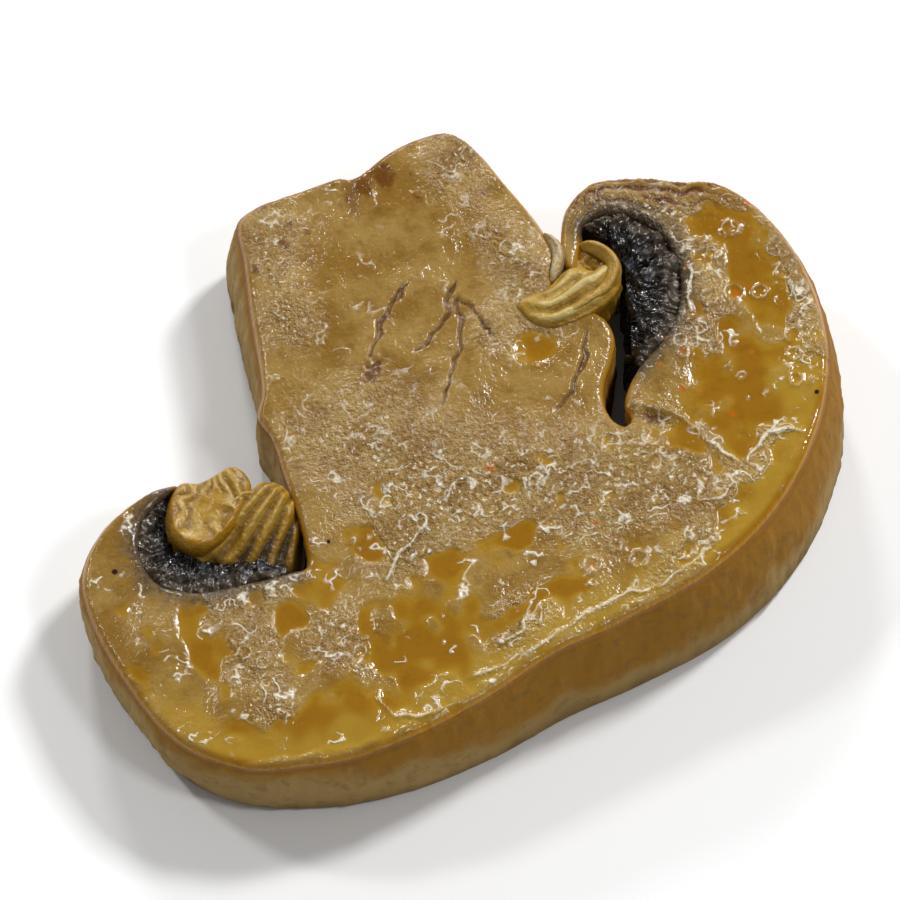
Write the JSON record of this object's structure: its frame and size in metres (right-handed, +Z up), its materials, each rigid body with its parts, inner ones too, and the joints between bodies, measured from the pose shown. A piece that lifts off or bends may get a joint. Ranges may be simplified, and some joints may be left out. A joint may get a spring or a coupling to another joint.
{
  "type": "button mushroom slice",
  "caption": "Thick lengthwise slice of a cooked button mushroom with cap, stem, curled margins, torn veil and dark gills, lying flat.",
  "frame": {"origin": "middle of the slice on the surface that it rests on", "axes": "+Z up through the slice's thickness, +Y towards the cut end of the stem, +X across the cap to the thicker lobe"},
  "size_m": [0.0484, 0.0394, 0.0088],
  "materials": {
    "flesh": "moist cooked flesh under a thin film of amber juice",
    "gills": "wet, near black"
  },
  "bodies": {
    "root": {"flesh": "flesh", "gills_left": "gills", "gills_right": "gills"}
  },
  "joints": []
}
